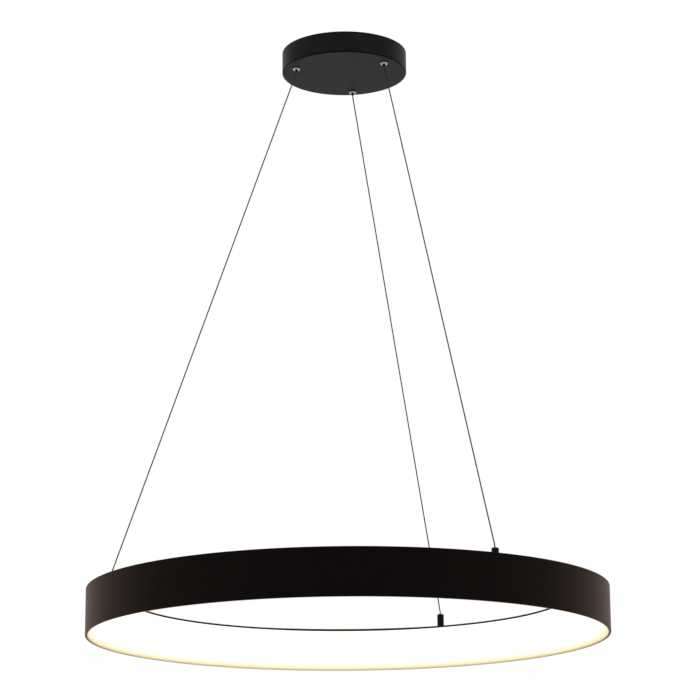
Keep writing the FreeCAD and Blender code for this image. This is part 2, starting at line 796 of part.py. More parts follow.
def buildGripperFittings():
    """Bushes, washers, lock nuts, end plugs and upper ferrules, a set of three of each."""
    axis = "outlet_circle"
    bore = f"{axis} + shank_radius + fit_gap"
    turnedSet("gripper_bushes", [
        (bore, "collar_top"),
        (f"{axis} + bush_flange_radius", "collar_top"),
        (f"{axis} + bush_flange_radius", "floor_outside"),
        (f"{axis} + bush_radius", "floor_outside"),
        (f"{axis} + bush_radius", "floor_inside"),
        (bore, "floor_inside"),
    ], axis, "3", angle="outlet_turn")
    washer_top = "floor_inside + bush_flange_thickness"
    turnedSet("gripper_washers", [
        (bore, "floor_inside"),
        (f"{axis} + bush_flange_radius", "floor_inside"),
        (f"{axis} + bush_flange_radius", washer_top),
        (bore, washer_top),
    ], axis, "3", angle="outlet_turn")
    nuts = newBody("gripper_nuts")
    nut = newSketch(nuts, "XY_Plane")
    outline(nut, hexagon(axis, "nut_flats"))
    roundHole(nut, axis, "0", "shank_radius + fit_gap")
    repeat(nuts, [pad(nuts, nut, "nut_height")], "3")
    place(nuts, z=washer_top, angle="outlet_turn")
    turnedSet("gripper_end_plugs", [
        (f"{axis} + rope_bore", "spring_top"),
        (f"{axis} + shank_bore - fit_gap", "spring_top"),
        (f"{axis} + shank_bore - fit_gap", "shank_top"),
        (f"{axis} + rope_bore", "shank_top"),
    ], axis, "3", angle="outlet_turn")
    turnedSet("upper_ferrules", [
        (f"{axis} + rope_radius + fit_gap", "rope_top - ferrule_length"),
        (f"{axis} + rope_radius + ferrule_wall", "rope_top - ferrule_length"),
        (f"{axis} + rope_radius + ferrule_wall", "rope_top"),
        (f"{axis} + rope_radius + fit_gap", "rope_top"),
    ], axis, "3", angle="outlet_turn")


# ---------------------------------------------------------------- ring
def buildRingShell():
    """Outer wall with its lip, and the recessed top plate with the rim flange."""
    wall = newBody("outer_wall")
    turn(wall, [
        ("lip_inner_radius", "0"),
        ("ring_radius - edge_bevel", "0"),
        ("ring_radius", "edge_bevel"),
        ("ring_radius", "ring_height - edge_bevel"),
        ("ring_radius - edge_bevel", "ring_height"),
        ("wall_inside", "ring_height"),
        ("wall_inside", "lip_thickness"),
        ("lip_inner_radius", "lip_thickness"),
    ])
    place(wall, z="ring_bottom")

    plate = newBody("top_plate")
    turn(plate, [
        ("rim_radius", "rim_height - rim_flange_height"),
        ("flange_outer_radius", "rim_height - rim_flange_height"),
        ("flange_outer_radius", "top_plate_underside"),
        ("top_plate_radius", "top_plate_underside"),
        ("top_plate_radius", "rim_height"),
        ("rim_radius + edge_bevel", "rim_height"),
        ("rim_radius", "rim_height - edge_bevel"),
    ])
    bracket_hole = "small_screw_radius + screw_clearance"
    anchor_hole = "anchor_screw_radius + bush_wall + fit_gap"
    deep = "top_plate_thickness * 4"
    ringHoles(plate, "rim_height", "anchor_circle", "0", anchor_hole, "3", deep)
    ringHoles(plate, "rim_height", "wall_inside - bracket_depth / 2", "bracket_turn", bracket_hole,
              "bracket_count", deep)
    place(plate, z="ring_bottom", angle="anchor_turn")


def ringHoles(body, height, circle, shift, radius, count, deep):
    """Round holes through a flat ring, evenly spaced from an angle."""
    sketch = newSketch(body, "XY_Plane", height)
    roundHole(sketch, f"({circle}) * cos({shift})", f"({circle}) * sin({shift})", radius)
    hole = pocket(body, sketch, deep, both=True)
    repeat(body, [hole], count)


def buildDiffuser():
    """An opal cone of even thickness from the lip up and inward, with a collar behind the rim flange."""
    diffuser = newBody("diffuser")
    slope = "((diffuser_shoulder - diffuser_foot) / (diffuser_foot_radius - diffuser_inner_radius))"
    thick = f"diffuser_thickness * sqrt(1 + {slope} ^ 2)"
    collar_radius = "diffuser_inner_radius + diffuser_collar"
    turn(diffuser, [
        ("diffuser_foot_radius", "diffuser_foot"),
        ("diffuser_outer_radius", "diffuser_foot"),
        ("diffuser_outer_radius",
         f"diffuser_foot + {thick} - (diffuser_outer_radius - diffuser_foot_radius) * {slope}"),
        (collar_radius, f"diffuser_shoulder + {thick} - diffuser_collar * {slope}"),
        (collar_radius, "diffuser_top"),
        ("diffuser_inner_radius", "diffuser_top"),
        ("diffuser_inner_radius", "diffuser_shoulder"),
    ])
    place(diffuser, z="ring_bottom")


def pillarTurn():
    return "anchor_turn + 180 / pillar_count"


def buildCarrier():
    """The flat plate that carries the LED boards, on pillars under the top plate."""
    carrier = newBody("led_carrier")
    flat = newSketch(carrier, "XY_Plane")
    roundHole(flat, "0", "0", "carrier_outer_radius")
    roundHole(flat, "0", "0", "carrier_inner_radius")
    pad(carrier, flat, "carrier_thickness", down=True)
    ringHoles(carrier, "0", "pillar_circle", "0", "small_screw_radius + screw_clearance", "pillar_count",
              "carrier_thickness * 3")
    wires = newSketch(carrier, "XY_Plane")
    lead_x, lead_y = leadPlace("-180 / pillar_count")
    roundHole(wires, lead_x, lead_y, "lead_radius + screw_clearance * 3")
    hole = pocket(carrier, wires, "carrier_thickness * 3", both=True)
    repeat(carrier, [hole], "3")
    place(carrier, z="ring_bottom + carrier_top", angle=pillarTurn())

    pillars = newBody("carrier_pillars")
    foot = newSketch(pillars, "XY_Plane")
    roundHole(foot, "pillar_circle", "0", "pillar_radius")
    column = pad(pillars, foot, "pillar_height")
    bore = newSketch(pillars, "XY_Plane")
    roundHole(bore, "pillar_circle", "0", "small_screw_radius + fit_gap")
    thread = pocket(pillars, bore, "pillar_height - carrier_thickness", up_side=True)
    repeat(pillars, [column, thread], "pillar_count")
    place(pillars, z="ring_bottom + carrier_top", angle=pillarTurn())

    shaft = "(carrier_thickness + board_thickness + pillar_height / 2)"
    turnedSet("carrier_screws", screwOutline(
        "pillar_circle", "board_underside", "small_head_height", "small_head_radius",
        "small_screw_radius", shaft, "-1"), "pillar_circle", "pillar_count", "ring_bottom", pillarTurn())


def leadPlace(shift):
    """Where a ring lead stands beside its anchor, seen from a direction turned by shift."""
    x = f"anchor_circle * cos({shift}) - ring_lead_offset * sin({shift})"
    y = f"anchor_circle * sin({shift}) + ring_lead_offset * cos({shift})"
    return x, y


def buildLights():
    """LED boards in arcs under the carrier, their chips, and the links that join board to board."""
    boards = newBody("led_boards")
    arc = turn(boards, [
        ("board_inner_radius", "board_underside"),
        ("board_outer_radius", "board_underside"),
        ("board_outer_radius", "carrier_underside"),
        ("board_inner_radius", "carrier_underside"),
    ], angle="360 / board_count - board_gap_angle")
    fixing = newSketch(boards, "XY_Plane", "board_underside")
    roundHole(fixing, "pillar_circle", "0", "small_screw_radius + screw_clearance")
    hole = pocket(boards, fixing, "board_thickness * 3", both=True)
    repeat(boards, [arc, hole], "board_count")
    place(boards, z="ring_bottom", angle=pillarTurn())

    chips = newBody("led_chips")
    square = newSketch(chips, "XY_Plane")
    outline(square, boxCorners(
        "chip_circle - chip_size / 2", "-chip_size / 2", "chip_circle + chip_size / 2", "chip_size / 2"))
    repeat(chips, [pad(chips, square, "chip_height", down=True)], "chip_count")
    place(chips, z="ring_bottom + board_underside", angle=f"{pillarTurn()} + 180 / chip_count")

    links = newBody("board_links")
    bridge = newSketch(links, "XY_Plane")
    half_span = "link_circle * sin(board_gap_angle)"
    outline(bridge, boxCorners(
        "link_circle - link_width / 2", f"-{half_span}", "link_circle + link_width / 2", half_span))
    repeat(links, [pad(links, bridge, "link_height", down=True)], "board_count")
    place(links, z="ring_bottom + board_underside", angle=f"{pillarTurn()} + 180 / board_count")


def buildBrackets():
    """Angle brackets in the corner of wall and top plate, with one screw each from above."""
    brackets = newBody("wall_brackets")
    outer = "top_plate_radius"
    leg = f"{outer} - bracket_thickness"
    piece = turn(brackets, [
        (f"{outer} - bracket_depth", "top_plate_underside"),
        (f"{outer} - bracket_depth", "top_plate_underside - bracket_thickness"),
        (leg, "top_plate_underside - bracket_thickness"),
        (leg, "top_plate_underside - bracket_height"),
        (outer, "top_plate_underside - bracket_height"),
        (outer, "top_plate_underside"),
    ], angle="bracket_angle")
    circle = "wall_inside - bracket_depth / 2"
    sketch = newSketch(brackets, "XY_Plane", "top_plate_underside")
    roundHole(sketch, circle, "0", "small_screw_radius + fit_gap")
    hole = pocket(brackets, sketch, "bracket_thickness * 3", both=True)
    repeat(brackets, [piece, hole], "bracket_count")
    place(brackets, z="ring_bottom", angle="anchor_turn + bracket_turn")
    turnedSet("plate_screws", screwOutline(
        circle, "rim_height", "small_head_height", "small_head_radius", "small_screw_radius",
        "(top_plate_thickness + bracket_thickness)", "1"), circle, "bracket_count",
        "ring_bottom", "anchor_turn + bracket_turn")


def buildAnchors():
    """Three insulated sleeves that hold the lower rope ends, each screwed down from below."""
    for index in range(3):
        angle = f"anchor_turn + {120 * index}"
        sleeve = newBody(f"anchor_sleeve_{index + 1}")
        turn(sleeve, [
            ("anchor_screw_radius + fit_gap", "anchor_base"),
            ("anchor_radius", "anchor_base"),
            ("anchor_radius", "anchor_top - anchor_round"),
            ("anchor_radius - anchor_round * round_middle", "anchor_top - anchor_round * round_middle"),
            ("anchor_radius - anchor_round", "anchor_top"),
            ("rope_bore", "anchor_top"),
            ("rope_bore", "anchor_chamber_top"),
            ("anchor_chamber_radius + fit_gap", "anchor_chamber_top"),
            ("anchor_chamber_radius + fit_gap", "anchor_chamber_low"),
            ("anchor_screw_radius + fit_gap", "anchor_chamber_low"),
        ])
        place(sleeve, f"anchor_circle * cos({angle})", f"anchor_circle * sin({angle})", "ring_bottom")

    axis = "anchor_circle"
    bore = f"{axis} + anchor_screw_radius + fit_gap"
    washer_low = "top_plate_underside - bush_flange_thickness"
    anchorSet("anchor_bushes", [
        (bore, "top_plate_underside"),
        (f"{axis} + anchor_screw_radius + bush_wall", "top_plate_underside"),
        (f"{axis} + anchor_screw_radius + bush_wall", "rim_height"),
        (f"{axis} + anchor_radius", "rim_height"),
        (f"{axis} + anchor_radius", "anchor_base"),
        (bore, "anchor_base"),
    ])
    anchorSet("anchor_washers", [
        (bore, washer_low),
        (f"{axis} + lug_radius", washer_low),
        (f"{axis} + lug_radius", "top_plate_underside"),
        (bore, "top_plate_underside"),
    ])
    anchorSet("contact_lugs", [
        (bore, "lug_underside"),
        (f"{axis} + lug_radius", "lug_underside"),
        (f"{axis} + lug_radius", washer_low),
        (bore, washer_low),
    ])
    ferrule_low = "anchor_chamber_top - ferrule_length"
    anchorSet("lower_ferrules", [
        (f"{axis} + rope_radius + fit_gap", ferrule_low),
        (f"{axis} + anchor_chamber_radius - fit_gap * 4", ferrule_low),
        (f"{axis} + anchor_chamber_radius - fit_gap * 4", "anchor_chamber_top - fit_gap"),
        (f"{axis} + rope_radius + fit_gap", "anchor_chamber_top - fit_gap"),
    ])
    screws = newBody("anchor_screws")
    head = newSketch(screws, "XY_Plane", "lug_underside")
    outline(head, hexagon(axis, "anchor_head_flats"))
    head_pad = pad(screws, head, "anchor_head_height", down=True)
    shaft = newSketch(screws, "XY_Plane", "lug_underside")
    roundHole(shaft, axis, "0", "anchor_screw_radius")
    shaft_pad = pad(screws, shaft, "anchor_chamber_low - lug_underside")
    repeat(screws, [head_pad, shaft_pad], "3")
    place(screws, z="ring_bottom", angle="anchor_turn")


def anchorSet(label, corners):
    turnedSet(label, corners, "anchor_circle", "3", "ring_bottom", "anchor_turn")


# ---------------------------------------------------------------- ropes and leads
def buildRopes():
    """Each rope runs straight down out of its gripper, slants to its anchor and ends in a ferrule."""
    bend = size("rope_bend_radius")
    for index in range(3):
        outlet = outletPlace(index)
        anchor = anchorPlace(index)
        slant = (anchor - outlet).Length / size("nipple_bottom - ring_bottom - anchor_top")
        lead_in = bend * math.tan(math.atan(slant) / 2)
        points = [
            outlet + up * size("rope_top"),
            outlet + up * (size("nipple_bottom") - lead_in),
            anchor + up * (size("ring_bottom + anchor_top") + lead_in),
            anchor + up * size("ring_bottom + anchor_chamber_top - ferrule_length"),
        ]
        cord(f"rope_{index + 1}", points, size("rope_radius"), bend)


def buildMainsLeads():
    """Live and neutral run from the terminal block to the driver, earth runs to its lug."""
    level = size("plate_underside - pole_level")
    block = size("terminal_y + terminal_width / 2")
    poles = [size(rule) for rule in poleRules()]
    driver = size("driver_inner_edge")
    cordInCanopy("live_lead", [
        (poles[0], block - 4, level),
        (poles[0], block + 5, level),
        (poles[0] - 7, block + 9.5, level),
        (poles[0] - 24, block + 9, level),
        (driver, block + 9, level),
    ])
    cordInCanopy("neutral_lead", [
        (poles[1], block - 4, level),
        (poles[1], block + 5.5, level),
        (poles[1] - 7, block + 13, level),
        (poles[1] - 28, block + 14, level),
        (driver, block + 14, level),
    ])
    lug = inCanopy(size("earth_x"), size("earth_y"), 0)
    reach = size("earth_lug_radius + fit_gap")
    earth_x = size("earth_x")
    earth_y = size("earth_y")
    lug_level = size("plate_underside - earth_lug_thickness / 2")
    side = reach / math.sqrt(2)
    cordInCanopy("earth_lead", [
        (poles[2], block - 4, level),
        (poles[2], block + 7, level),
        (poles[2] + 11, block + 19, level),
        (earth_x + 16, earth_y - 26, level),
        (earth_x + 8.5, earth_y - 8.5, lug_level - 0.5),
        (earth_x + side, earth_y - side, lug_level),
    ])


def buildFeedLeads():
    """Two low-voltage leads run from the driver to the ferrules of the first two ropes."""
    level = size("rope_top - ferrule_length / 2")
    driver = size("driver_inner_edge")
    circle = size("outlet_circle")
    reach = size("rope_radius + ferrule_wall + fit_gap * 6")
    start_level = level - 8
    direction = vector(12, -10, 0).normalize()
    cordInCanopy("feed_lead_1", [
        (driver, 14, start_level),
        (driver + 14, 14, start_level),
        (driver + 36, 19, start_level + 1),
        (driver + 62, 24, start_level + 3),
        (circle - 24, 20, level - 1),
        (circle - 12, 10, level),
        (circle - reach * direction.x, -reach * direction.y, level),
    ])
    outlet_x = circle * math.cos(math.radians(120))
    outlet_y = circle * math.sin(math.radians(120))
    end = size("driver_half_length")
    cordInCanopy("feed_lead_2", [
        (outlet_x + 10, end, level - 2),
        (outlet_x + 10, end + 6, level - 2),
        (outlet_x + 8, outlet_y - 2, level - 0.6),
        (outlet_x + reach, outlet_y, level),
    ])


def cordInCanopy(label, places):
    cord(label, [inCanopy(*spot) for spot in places], size("lead_radius"))


def buildRingLeads():
    """Two straight leads stand between a contact lug and the board under it."""
    shift = size("ring_lead_offset")
    for index in range(2):
        foot = anchorPlace(index)
        outward = vector(foot).normalize()
        foot = foot + up.cross(outward) * shift
        low = foot + up * size("ring_bottom + carrier_underside")
        high = foot + up * size("ring_bottom + lug_underside")
        cord(f"ring_lead_{index + 1}", [low, high], size("lead_radius"))


def build():
    buildCanopyCover()
    buildMountingPlate()
    buildSideScrews()
    buildDriverCase()
    buildDriverInside()
    buildPlateScrews()
    buildTerminals()
    for index in range(3):
        angle = f"outlet_turn + {120 * index}"
        x = f"outlet_circle * cos({angle})"
        y = f"outlet_circle * sin({angle})"
        buildGripper(index + 1, x, y, angle)
        buildSpring(index + 1)
    buildGripperFittings()
    buildRingShell()
    buildDiffuser()
    buildCarrier()
    buildLights()
    buildBrackets()
    buildAnchors()
    buildRopes()
    buildMainsLeads()
    buildFeedLeads()
    buildRingLeads()


def checkAndWrite():
    """Stops at the first failed object, then writes each sub-part."""
    doc.recompute()
    for thing in doc.Objects:
        if "Invalid" in thing.State or "Error" in thing.State:
            raise ValueError(f"{thing.Name} of {thing.Label} failed: {thing.State}")
    for thing in made:
        shape = thing.Shape
        if shape.isNull() or not shape.isValid():
            raise ValueError(f"{thing.Label} has no valid shape")
    for thing in made:
        thing.Shape.exportStep(f"parts/{thing.Label}.step")
    print(len(made), "sub-parts written")


build()
checkAndWrite()
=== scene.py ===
# LED ring chandelier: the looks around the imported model. Metres, +Z up, the ceiling at z = 0.
import json
import math
import bmesh
import bpy
import numpy as np
from mathutils import Matrix, Vector


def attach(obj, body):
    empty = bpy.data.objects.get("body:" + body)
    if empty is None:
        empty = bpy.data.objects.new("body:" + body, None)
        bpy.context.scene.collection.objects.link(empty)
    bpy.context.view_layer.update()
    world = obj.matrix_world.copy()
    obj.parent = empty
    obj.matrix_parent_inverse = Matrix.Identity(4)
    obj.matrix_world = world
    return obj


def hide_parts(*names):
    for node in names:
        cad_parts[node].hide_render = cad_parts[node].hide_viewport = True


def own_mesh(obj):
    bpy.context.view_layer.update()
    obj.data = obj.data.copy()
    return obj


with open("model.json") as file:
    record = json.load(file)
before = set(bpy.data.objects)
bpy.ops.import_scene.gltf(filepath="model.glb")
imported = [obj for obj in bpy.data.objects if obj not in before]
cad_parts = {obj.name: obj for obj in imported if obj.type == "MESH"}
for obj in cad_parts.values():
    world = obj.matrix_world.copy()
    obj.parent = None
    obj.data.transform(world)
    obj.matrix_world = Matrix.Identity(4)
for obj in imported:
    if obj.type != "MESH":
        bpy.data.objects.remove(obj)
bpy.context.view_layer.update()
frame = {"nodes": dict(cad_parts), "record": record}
nodes = frame["nodes"]
print("frame loaded:", len(nodes), "nodes")

# places that several pieces share, as in the part's source
hang = {
    "ropes": 3,
    "ringBottom": -0.948,   # lower edge of the ring
    "ringRadius": 0.400,
    "outletCircle": 0.082,  # the ropes leave the canopy on this circle
    "outletTurn": 80.0,     # degrees, first outlet
    "anchorCircle": 0.365,  # and meet the ring on this one
    "anchorTurn": 64.5,     # degrees, first anchor
}
low = hang["ringBottom"]

# small edges that have no size of their own
edges = {
    "keen": 0.0001,         # radii
    "fine": 0.0002,
    "soft": 0.0003,
    "steps": 8,             # points round an edge that is seen close to
    "support": 0.0002,      # length of flat beside it
}

perMetre = 1000             # millimetres
waveBand = 2 * math.pi / 20     # scale at which the Wave Texture has one band to a unit
noiseSpan = {"From Min": 0.3, "From Max": 0.7}      # a noise seldom leaves these values


# point on a level circle round the lamp's axis
def onCircle(radius, degrees):
    angle = math.radians(degrees)
    return np.array([radius * math.cos(angle), radius * math.sin(angle), 0.0])


thirds = [360 / hang["ropes"] * index for index in range(hang["ropes"])]
outlets = [onCircle(hang["outletCircle"], hang["outletTurn"] + third) for third in thirds]
feet = [onCircle(hang["anchorCircle"], hang["anchorTurn"] + third) for third in thirds]


# sRGB hex to the linear colour that the shaders want, by the curve that defines sRGB
def fromHex(code):
    values = np.array([int(code[i:i + 2], 16) for i in (0, 2, 4)]) / 255
    linear = np.where(values <= 0.04045, values / 12.92, ((values + 0.055) / 1.055) ** 2.4)
    return (*linear.tolist(), 1.0)


# a node with its settings (attributes or input values) and the sockets that feed it
def addNode(tree, kind, settings=None, links=None):
    node = tree.nodes.new(kind)
    for key, value in (settings or {}).items():
        if isinstance(key, str) and hasattr(node, key):
            setattr(node, key, value)
        else:
            node.inputs[key].default_value = value
    for key, socket in (links or {}).items():
        tree.links.new(socket, node.inputs[key])
    return node


# points and faces into an object; caps are the faces that close the ends, uv the lay of a pattern
def makeMesh(name, points, faces, caps=(), uv=None):
    mesh = bpy.data.meshes.new(name)
    corners = faces.tolist() + [cap.tolist() for cap in caps]
    mesh.from_pydata(points.reshape(-1, 3).tolist(), [], corners)
    mesh.update()
    mesh.shade_smooth()
    if uv is not None:
        atCorners = uv.reshape(-1, 2)[np.concatenate([faces.ravel(), *caps])]
        layer = mesh.uv_layers.new(name="lay")
        layer.data.foreach_set("uv", atCorners.astype(np.float32).ravel())
    thing = bpy.data.objects.new(name, mesh)
    bpy.context.scene.collection.objects.link(thing)
    return thing


# quads of a grid of rows x columns points; a closed direction joins its last line to its first
def gridFaces(rows, columns, closeRows, closeColumns):
    i = np.arange(rows if closeRows else rows - 1)[:, None]
    j = np.arange(columns if closeColumns else columns - 1)[None, :]
    iNext, jNext = (i + 1) % rows, (j + 1) % columns
    corners = [i * columns + j, iNext * columns + j, iNext * columns + jNext, i * columns + jNext]
    return np.stack(np.broadcast_arrays(*corners), -1).reshape(-1, 4)


# Profile with each corner replaced by an arc: from the corner go radius / tan(half the corner's
# angle) both ways, and join the two points on a circle of that radius, slerp(share) =
# (sin((1 - share) turn) entry + sin(share turn) leave) / sin(turn) about its centre. A support
# point beyond each end keeps the flats flat, and takes at most spare of what is left of the flat.
def softened(corners, radii, steps=5, support=0.0015, spare=0.3):
    p = np.array(corners, float)
    r = np.broadcast_to(np.array(radii, float), len(p))[:, None]
    back, ahead = np.roll(p, 1, 0) - p, np.roll(p, -1, 0) - p
    backLong = np.linalg.norm(back, axis=1)[:, None]
    aheadLong = np.linalg.norm(ahead, axis=1)[:, None]
    back, ahead = back / backLong, ahead / aheadLong
    half = np.arccos(np.clip((back * ahead).sum(1), -1, 1))[:, None] / 2
    reach = r / np.tan(half)
    between = np.linalg.norm(back + ahead, axis=1)[:, None]
    centre = p + (back + ahead) / between * r / np.sin(half)
    entry, leave = p + back * reach, p + ahead * reach
    turn = (np.pi - 2 * half)[:, :, None]
    share = np.linspace(0, 1, steps + 1)[None, :, None]
    arc = centre[:, None] + (np.sin((1 - share) * turn) * (entry - centre)[:, None]
                             + np.sin(share * turn) * (leave - centre)[:, None]) / np.sin(turn)
    before = entry + back * np.minimum(support, (backLong - reach) * spare)
    after = leave + ahead * np.minimum(support, (aheadLong - reach) * spare)
    return np.concatenate([before[:, None], arc, after[:, None]], 1).reshape(-1, 2)


# closed profile (r, z), anticlockwise, carried round a vertical axis:
# point(u, v) = (centre x + r(v) cos u, centre y + r(v) sin u, z(v)), u over a full turn
def lathe(name, profile, centre=(0.0, 0.0), steps=256):
    rNext, zNext = np.roll(profile[:, 0], -1), np.roll(profile[:, 1], -1)
    area = (profile[:, 0] * zNext - rNext * profile[:, 1]).sum()
    if area < 0:
        profile = profile[::-1]
    u = np.linspace(0, 2 * np.pi, steps, endpoint=False)[:, None]
    r, z = profile[None, :, 0], profile[None, :, 1]
    x, y = centre[0] + r * np.cos(u), centre[1] + r * np.sin(u)
    points = np.stack(np.broadcast_arrays(x, y, z), -1)
    return makeMesh(name, points, gridFaces(steps, profile.shape[0], True, True))


# camera at the photograph's place: below the ring, looking up
camera = {
    "place": (-0.0424, -3.9062, -1.5012),
    "tilt": 14.44,      # degrees above level
    "turn": -0.71,      # degrees; under zero is to the right
    "roll": -0.41,      # degrees
    "lens": 132.05,     # mm on a 36 mm sensor
    "far": 200,         # nothing is seen beyond
}
eye = bpy.data.objects.new("eye", bpy.data.cameras.new("eye"))
bpy.context.scene.collection.objects.link(eye)
eye.data.lens = camera["lens"]
eye.data.clip_end = camera["far"]
eye.matrix_world = (Matrix.Translation(camera["place"])
                    @ Matrix.Rotation(math.radians(camera["turn"]), 4, "Z")
                    @ Matrix.Rotation(math.radians(90 + camera["tilt"]), 4, "X")
                    @ Matrix.Rotation(math.radians(camera["roll"]), 4, "Z"))
bpy.context.scene.camera = eye
print("camera placed")


# a new material: its tree, its shader with the values that are the same all over, and the place
# on the object
def startMaterial(name, values):
    material = bpy.data.materials.new(name)
    material.use_nodes = True
    tree = material.node_tree
    tree.nodes.clear()
    shader = addNode(tree, "ShaderNodeBsdfPrincipled", values)
    addNode(tree, "ShaderNodeOutputMaterial", links={"Surface": shader.outputs[0]})
    return material, tree, shader, addNode(tree, "ShaderNodeTexCoord").outputs["Object"]


# Two close colours in patches mottle mm across, and a fine grain of grain mm that sets the
# roughness between its two values and stands depth mm high. A stretch under 1 draws the grain out
# along an axis.
def layGrain(tree, shader, place, look):
    patches = addNode(tree, "ShaderNodeTexNoise",
                      {"Scale": perMetre / look["mottle"], "Detail": 2.0}, {"Vector": place})
    share = addNode(tree, "ShaderNodeMapRange", noiseSpan, {"Value": patches.outputs["Fac"]})
    first, second = look["colours"]
    colour = addNode(tree, "ShaderNodeMix",
                     {"data_type": "RGBA", 6: fromHex(first), 7: fromHex(second)},
                     {0: share.outputs[0]}).outputs[2]
    drawn = addNode(tree, "ShaderNodeMapping", {"Scale": look.get("stretch", (1, 1, 1))},
                    {"Vector": place})
    fine = addNode(tree, "ShaderNodeTexNoise",
                   {"Scale": perMetre / look["grain"], "Detail": 3.0, "Roughness": 0.6},
                   {"Vector": drawn.outputs[0]}).outputs["Fac"]
    smooth, rough = look["roughness"]
    sheer = addNode(tree, "ShaderNodeMapRange", {**noiseSpan, "To Min": smooth, "To Max": rough},
                    {"Value": fine})
    relief = addNode(tree, "ShaderNodeBump", {"Distance": look["depth"] / perMetre},
                     {"Height": fine})
    tree.links.new(colour, shader.inputs["Base Color"])
    tree.links.new(sheer.outputs[0], shader.inputs["Roughness"])
    tree.links.new(relief.outputs[0], shader.inputs["Normal"])
    return colour


# A plain finish: a moulded plastic, a plated sheet or a cable's skin. Grain, depth and mottle are
# in mm, and the other values are the shader's own.
def plainFinish(name, colours, roughness, grain, depth, mottle=12.0, stretch=(1, 1, 1), **values):
    material, tree, shader, place = startMaterial(name, values)
    layGrain(tree, shader, place, {"colours": colours, "roughness": roughness, "grain": grain,
                                   "depth": depth, "mottle": mottle, "stretch": stretch})
    return material


# the powder coat; a pair of places is where another colour starts to come in and where it is full
coat = {
    "ring": {"colours": ("060404", "080605"), "bloom": 0.21, "bloomTint": "ffcdb8"},
    "canopy": {"colours": ("131313", "171718"), "bloom": 0.16, "bloomTint": "f0ebff"},
    "grain": 1.1,               # mm, the real 0.3 mm drawn coarser, so that it shows
    "depth": 0.03,              # mm
    "mottle": 25.0,             # mm
    "roughness": (0.42, 0.58),
    "shine": 0.02,              # share of a plain gloss
    "bloomSpread": 0.40,        # low keeps the bloom near the outline
    "lip": "d6c8a0",            # painted light: the lip's inner edge, pale tan as if lit by the diffuser
    "lipHeight": (low + 0.0026, low + 0.0022),
    "lipReach": (0.3972, 0.3964),
    "rim": "301b06",            # the rim round the diffuser's upper edge: the diffuser's warm glow painted in as brown
    "rimReach": (0.3397, 0.3387),
    "edge": "030303",           # painted shade on the canopy's turned lower edge and along its brim at the ceiling
    "edgeShadeHeight": (-0.0325, -0.0340),
    "edgeShadeReach": (0.0970, 0.0988),
    "ceilingShadeHeight": (-0.0022, -0.0012),
}


# Polyester powder coat, sprayed and baked: no mirror image, a fine even grain, near black head on
# and paler where the surface turns away.
def powderCoat(name, look):
    material, tree, shader, place = startMaterial(name, {
        "IOR": 1.5, "Specular IOR Level": coat["shine"], "Sheen Weight": look["bloom"],
        "Sheen Roughness": coat["bloomSpread"], "Sheen Tint": fromHex(look["bloomTint"])})
    colour = layGrain(tree, shader, place, {**coat, "colours": look["colours"]})
    return material, tree, shader, place, colour


# height, and distance from the lamp's axis, of each point
def heightAndReach(tree, place):
    height = addNode(tree, "ShaderNodeSeparateXYZ", links={0: place}).outputs["Z"]
    level = addNode(tree, "ShaderNodeVectorMath", {"operation": "MULTIPLY", 1: (1, 1, 0)},
                    {0: place}).outputs[0]
    reach = addNode(tree, "ShaderNodeVectorMath", {"operation": "LENGTH"}, {0: level})
    return height, reach.outputs["Value"]


# Another colour where every value lies beyond its limit: rows of value, none of it, all of it.
def tinted(tree, shader, colour, code, rows):
    share = None
    for value, none, full in rows:
        part = addNode(tree, "ShaderNodeMapRange", {"From Min": none, "From Max": full},
                       {"Value": value}).outputs[0]
        share = part if share is None else addNode(
            tree, "ShaderNodeMath", {"operation": "MULTIPLY"}, {0: share, 1: part}).outputs[0]
    mixed = addNode(tree, "ShaderNodeMix", {"data_type": "RGBA", 7: fromHex(code)},
                    {0: share, 6: colour}).outputs[2]
    tree.links.new(mixed, shader.inputs["Base Color"])
    return mixed


# The ring's coat: warm, with the diffuser's light painted on the lip's inner edge and its warm glow
# painted in brown inside the rim.
def ringCoat():
    material, tree, shader, place, colour = powderCoat("ringPowderCoat", coat["ring"])
    height, reach = heightAndReach(tree, place)
    # painted light: the diffuser's light on the lip's inner edge, laid in as a pale tan colour
    colour = tinted(tree, shader, colour, coat["lip"],
                    [(height, *coat["lipHeight"]), (reach, *coat["lipReach"])])
    # painted light: the diffuser's warm glow on the rim, laid in as brown
    tinted(tree, shader, colour, coat["rim"], [(reach, *coat["rimReach"])])
    return material


# The canopy's coat: a neutral dark grey, with painted shade on its turned edge and against the
# ceiling.
def canopyCoat():
    material, tree, shader, place, colour = powderCoat("canopyPowderCoat", coat["canopy"])
    height, reach = heightAndReach(tree, place)
    # painted shade: a dark line round the turned lower edge
    colour = tinted(tree, shader, colour, coat["edge"],
                    [(height, *coat["edgeShadeHeight"]), (reach, *coat["edgeShadeReach"])])
    # painted shade: a dark band where the canopy meets the ceiling
    tinted(tree, shader, colour, coat["edge"], [(height, *coat["ceilingShadeHeight"])])
    return material


opal = {
    "light": 0.6,           # strength of the lit diffuser, over the studio's own light on it
    "colours": ("fbf8ee", "f8f5ea"),
    "foot": "d8cba4",       # beside the lip: a yellower glow, painted into the colour and the light
    "yellowTo": 0.0036,     # heights over the ring's lower edge: all yellow up to here
    "whiteFrom": 0.0110,    # and none from here up
    "roughness": (0.42, 0.55),
    "grain": 0.8,           # mm
    "depth": 0.01,          # mm
    "mottle": 40.0,         # mm
}


